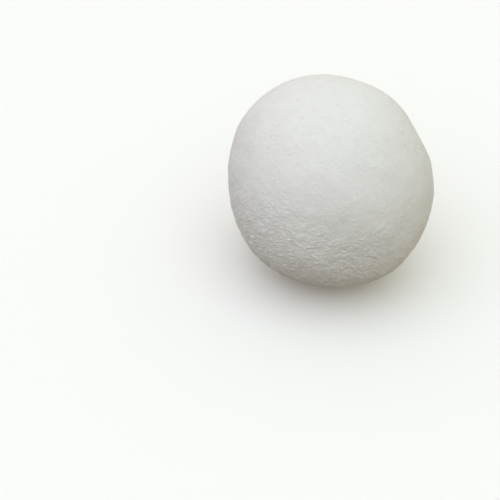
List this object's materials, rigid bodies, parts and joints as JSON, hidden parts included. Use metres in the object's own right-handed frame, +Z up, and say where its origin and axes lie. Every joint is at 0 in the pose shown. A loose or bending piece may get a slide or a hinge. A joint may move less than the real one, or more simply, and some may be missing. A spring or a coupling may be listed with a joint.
{
  "type": "dryer ball",
  "caption": "Solid felted wool ball that tumbles with laundry in a dryer: a rolled nub wound with crossing batt strips under a fine white wool skin.",
  "frame": {"origin": "centre of the ball, which is its centroid", "axes": "+Z up, away from the flat that the ball stands on; X, Y and Z are the three axes that the batt strips are wound about, and the ball is narrowest along X"},
  "size_m": [0.0686, 0.0708, 0.0705],
  "materials": {
    "fine_wool": "matte felted fine wool, undyed off-white",
    "batt_wool": "matte felted carded wool, undyed cream",
    "core_wool": "matte tightly felted coarse wool, undyed cream"
  },
  "bodies": {
    "root": {"core_nub": "core_wool", "batt_wrap_1": "batt_wool", "batt_wrap_2": "batt_wool", "batt_wrap_3": "batt_wool", "batt_wrap_4": "batt_wool", "batt_wrap_5": "batt_wool", "batt_wrap_6": "batt_wool", "outer_skin": "fine_wool"}
  },
  "joints": []
}
